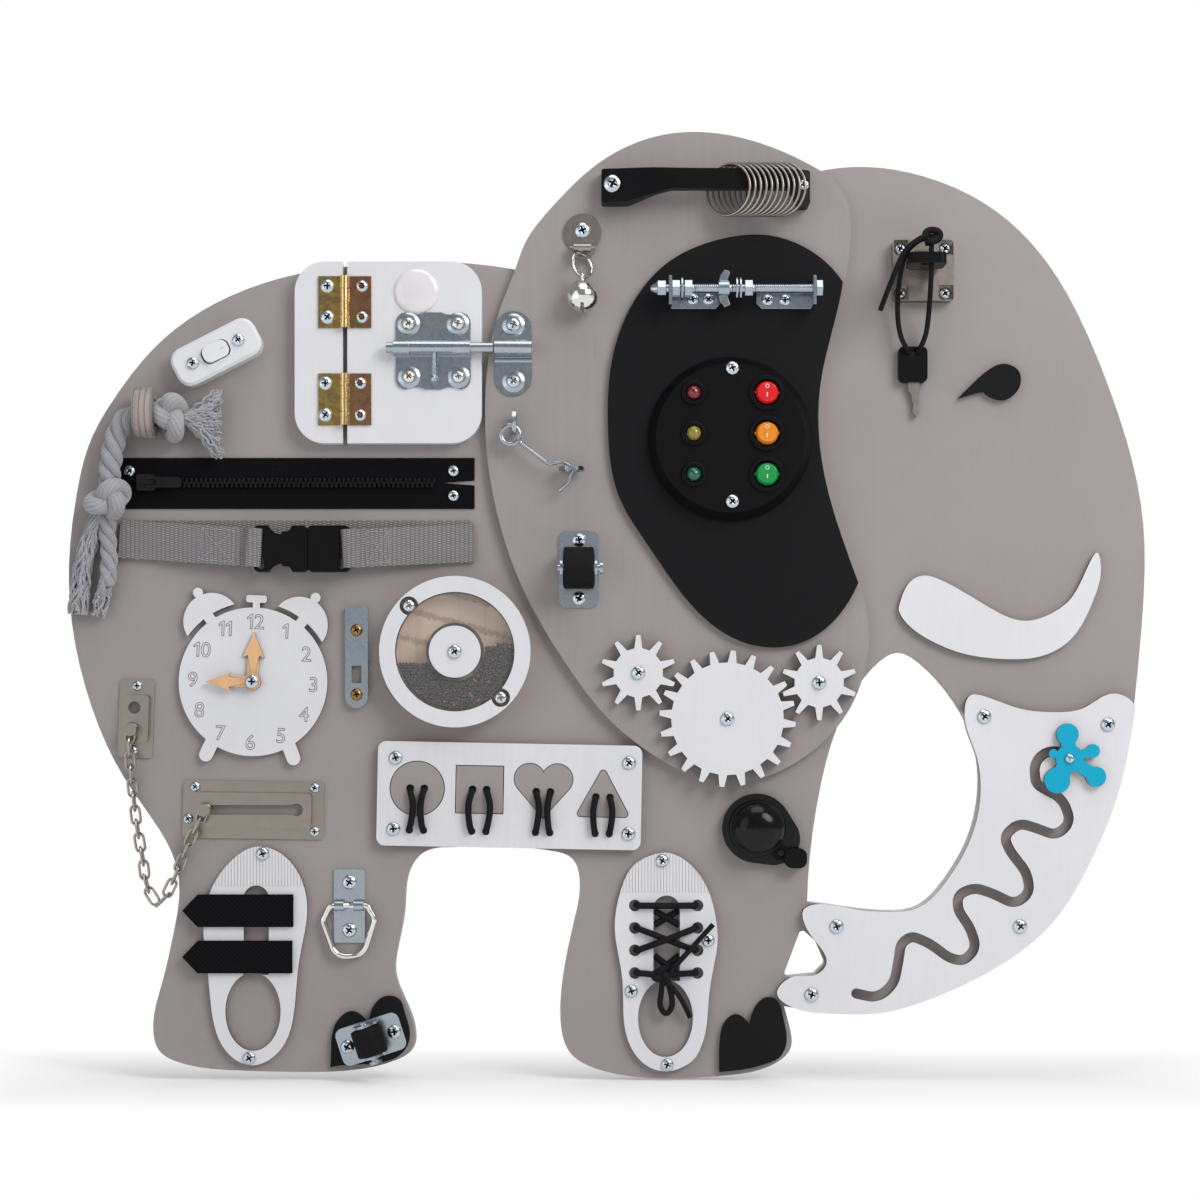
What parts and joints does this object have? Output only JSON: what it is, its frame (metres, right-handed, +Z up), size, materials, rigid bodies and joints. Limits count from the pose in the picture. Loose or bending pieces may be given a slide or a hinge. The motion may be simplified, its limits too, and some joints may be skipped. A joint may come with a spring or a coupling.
{
  "type": "wall-mounted busy board",
  "caption": "Elephant-shaped wooden busy board for a wall, with a bolted door, latches, spinning and sliding gadgets, switches, straps and a bell.",
  "frame": {"origin": "the middle of the board's back face, where it meets the wall", "axes": "X right, Z up, +Y into the wall; the gadgets face -Y"},
  "size_m": [0.7025, 0.0593, 0.6166],
  "materials": {
    "taupe_board": "matt paint on plywood",
    "black_panel": "matt black lacquer",
    "white_panel": "matt white lacquer",
    "birch": "clear-varnished birch ply, laser-browned edges",
    "limed_ply": "taupe-stained plywood edge",
    "turquoise": "satin turquoise paint",
    "zinc": "bright zinc plate",
    "yellow_zinc": "yellow chromate on zinc",
    "nickel": "nickel plate",
    "black_plastic": "moulded",
    "rubber": "matt black rubber",
    "white_plastic": "glossy moulded",
    "dark_lens": "unlit tinted lenses in black bezels",
    "red": "gloss",
    "amber": "gloss",
    "green": "gloss",
    "zip_cloth": "herringbone tape",
    "grey_webbing": "coarse woven webbing",
    "yarn": "twisted grey melange cotton",
    "black_cord": "braided",
    "seed": "dry seeds",
    "key_metal": "nickel blade under a black moulded bow"
  },
  "bodies": {
    "board": {"base_panel": "taupe_board", "ear_panel": "taupe_board", "black_panels": "black_panel", "trunk_panel": "white_panel", "white_plates": "white_panel", "clock_face": "white_panel", "shape_tray": "white_panel", "fixed_door_hardware": "zinc", "chain_and_latch_plates": "nickel", "fixed_fittings": "zinc", "ring_handle": "black_plastic", "bolt_and_brackets": "zinc", "lock_case": "nickel", "light_box": "black_plastic", "lamps_and_bezels": "dark_lens", "bike_bell": "black_plastic", "switch_housing": "white_plastic", "zipper_tape": "zip_cloth", "strap_webbing": "grey_webbing", "buckle_socket": "black_plastic", "strap_front_right": "grey_webbing", "chain_links": "nickel", "seeds": "seed", "tail_loop": "limed_ply", "tail_rope": "yarn", "shape_cords": "black_cord", "shoe_lace": "black_cord", "key_cord": "black_cord", "screws": "zinc"},
    "door": {"door_panel": "white_panel", "door_hardware": "yellow_zinc"},
    "slide_bolt_body": {"slide_bolt": "zinc"},
    "zipper_slider_body": {"zipper_slider": "black_plastic"},
    "buckle_prongs_body": {"buckle_prongs": "black_plastic"},
    "minute_hand_body": {"minute_hand": "birch"},
    "hour_hand_body": {"hour_hand": "birch"},
    "seed_wheel_body": {"seed_wheel": "white_panel"},
    "chain_slider_body": {"chain_slider": "nickel"},
    "tie_down_ring_body": {"tie_down_ring": "zinc"},
    "ear_roller_body": {"ear_roller": "rubber"},
    "foot_roller_body": {"foot_roller": "rubber"},
    "shape_circle_body": {"shape_circle": "taupe_board"},
    "shape_square_body": {"shape_square": "taupe_board"},
    "shape_heart_body": {"shape_heart": "taupe_board"},
    "shape_triangle_body": {"shape_triangle": "taupe_board"},
    "latch_hook_body": {"latch_hook": "zinc"},
    "handle_rings_body": {"handle_rings": "nickel"},
    "jingle_bell_body": {"jingle_bell": "nickel"},
    "wing_nut_body": {"wing_nut": "zinc"},
    "lock_key_body": {"lock_key": "key_metal"},
    "hanging_key_body": {"hanging_key": "key_metal"},
    "rocker_red_body": {"rocker_red": "red"},
    "rocker_amber_body": {"rocker_amber": "amber"},
    "rocker_green_body": {"rocker_green": "green"},
    "gear_left_body": {"gear_left": "white_panel"},
    "gear_large_body": {"gear_large": "white_panel"},
    "gear_right_body": {"gear_right": "white_panel"},
    "bell_lever_body": {"bell_lever": "black_plastic"},
    "switch_rocker_body": {"switch_rocker": "white_plastic"},
    "maze_slider_body": {"maze_slider": "turquoise"}
  },
  "joints": [
    {"name": "door_hinge", "type": "hinge", "parent": "board", "child": "door", "pos_m": [-0.1698, -0.024, 0.165], "axis": [0, 0, -1], "range_deg": [0, 150]},
    {"name": "bolt_slide", "type": "slide", "parent": "door", "child": "slide_bolt_body", "axis": [1, 0, 0], "range_m": [-0.014, 0.0095]},
    {"name": "zipper_slide", "type": "slide", "parent": "board", "child": "zipper_slider_body", "axis": [1, 0, 0], "range_m": [0, 0.169]},
    {"name": "buckle_release", "type": "slide", "parent": "board", "child": "buckle_prongs_body", "axis": [1, 0, 0], "range_m": [0, 0.025], "deforming": ["strap_front_right"]},
    {"name": "minute_hand_spin", "type": "hinge", "parent": "board", "child": "minute_hand_body", "pos_m": [-0.2302, -0.0173, -0.0492], "axis": [0, -1, 0], "continuous": true},
    {"name": "hour_hand_spin", "type": "hinge", "parent": "board", "child": "hour_hand_body", "pos_m": [-0.2302, -0.0196, -0.0492], "axis": [0, -1, 0], "continuous": true},
    {"name": "seed_wheel_spin", "type": "hinge", "parent": "board", "child": "seed_wheel_body", "pos_m": [-0.0981, -0.02, -0.0299], "axis": [0, -1, 0], "continuous": true},
    {"name": "chain_button_slide", "type": "slide", "parent": "board", "child": "chain_slider_body", "axis": [1, 0, 0], "range_m": [0, 0.056], "deforming": ["chain_links"]},
    {"name": "tie_down_ring_swing", "type": "hinge", "parent": "board", "child": "tie_down_ring_body", "pos_m": [-0.1677, -0.0165, -0.195], "axis": [-1, 0, 0], "range_deg": [0, 170]},
    {"name": "ear_roller_spin", "type": "hinge", "parent": "board", "child": "ear_roller_body", "pos_m": [-0.0179, -0.0335, 0.0239], "axis": [1, 0, 0], "continuous": true},
    {"name": "foot_roller_spin", "type": "hinge", "parent": "board", "child": "foot_roller_body", "pos_m": [-0.1534, -0.028, -0.2819], "axis": [0.309, 0, -0.9511], "continuous": true},
    {"name": "circle_lift", "type": "slide", "parent": "board", "child": "shape_circle_body", "axis": [0, -1, 0], "range_m": [0, 0.012], "deforming": ["shape_cords"]},
    {"name": "square_lift", "type": "slide", "parent": "board", "child": "shape_square_body", "axis": [0, -1, 0], "range_m": [0, 0.012], "deforming": ["shape_cords"]},
    {"name": "heart_lift", "type": "slide", "parent": "board", "child": "shape_heart_body", "axis": [0, -1, 0], "range_m": [0, 0.012], "deforming": ["shape_cords"]},
    {"name": "triangle_lift", "type": "slide", "parent": "board", "child": "shape_triangle_body", "axis": [0, -1, 0], "range_m": [0, 0.012], "deforming": ["shape_cords"]},
    {"name": "hook_turn", "type": "hinge", "parent": "board", "child": "latch_hook_body", "pos_m": [-0.0622, -0.0266, 0.1105], "axis": [0, -1, 0], "range_deg": [0, 95]},
    {"name": "ring_slide", "type": "slide", "parent": "board", "child": "handle_rings_body", "axis": [-1, 0, 0], "range_m": [0, 0.03]},
    {"name": "jingle_bell_swing", "type": "hinge", "parent": "board", "child": "jingle_bell_body", "pos_m": [-0.0156, -0.0233, 0.22705], "axis": [0, -1, 0], "range_deg": [-14, 14]},
    {"name": "wing_nut_spin", "type": "hinge", "parent": "board", "child": "wing_nut_body", "pos_m": [0.075, -0.035, 0.2036], "axis": [1, 0, 0], "continuous": true},
    {"name": "key_turn", "type": "hinge", "parent": "board", "child": "lock_key_body", "pos_m": [0.2043, -0.04, 0.2196], "axis": [0, -1, 0], "range_deg": [0, 90], "deforming": ["key_cord"]},
    {"name": "hanging_key_swing", "type": "hinge", "parent": "board", "child": "hanging_key_body", "pos_m": [0.1995, -0.015, 0.1644], "axis": [0, -1, 0], "range_deg": [-25, 25]},
    {"name": "red_rocker_press", "type": "hinge", "parent": "board", "child": "rocker_red_body", "pos_m": [0.1035, -0.032, 0.137], "axis": [1, 0, 0], "range_deg": [0, 12]},
    {"name": "amber_rocker_press", "type": "hinge", "parent": "board", "child": "rocker_amber_body", "pos_m": [0.1035, -0.032, 0.1108], "axis": [1, 0, 0], "range_deg": [0, 12]},
    {"name": "green_rocker_press", "type": "hinge", "parent": "board", "child": "rocker_green_body", "pos_m": [0.1035, -0.032, 0.0844], "axis": [1, 0, 0], "range_deg": [0, 12]},
    {"name": "large_gear_spin", "type": "hinge", "parent": "board", "child": "gear_large_body", "pos_m": [0.0784, -0.0215, -0.0733], "axis": [0, -1, 0], "continuous": true},
    {"name": "left_gear_spin", "type": "hinge", "parent": "board", "child": "gear_left_body", "pos_m": [0.0206, -0.0215, -0.0435], "axis": [0, -1, 0], "continuous": true},
    {"name": "right_gear_spin", "type": "hinge", "parent": "board", "child": "gear_right_body", "pos_m": [0.1378, -0.0215, -0.0499], "axis": [0, -1, 0], "continuous": true},
    {"name": "bell_lever_press", "type": "hinge", "parent": "board", "child": "bell_lever_body", "pos_m": [0.1135, -0.016, -0.1605], "axis": [0, 1, 0], "range_deg": [0, 15], "stiffness_Nm_per_rad": 0.02},
    {"name": "switch_press", "type": "hinge", "parent": "board", "child": "switch_rocker_body", "pos_m": [-0.2532, -0.025, 0.1645], "axis": [0.454, 0, -0.891], "range_deg": [0, 12]},
    {"name": "maze_turn", "type": "hinge", "parent": "board", "child": "maze_slider_body", "pos_m": [0.291, -0.018, -0.107], "axis": [0, -1, 0], "range_deg": [0, 140]}
  ],
  "couplings": [
    {"joint": "left_gear_spin", "follows": "large_gear_spin", "ratio": -2},
    {"joint": "right_gear_spin", "follows": "large_gear_spin", "ratio": -2}
  ]
}
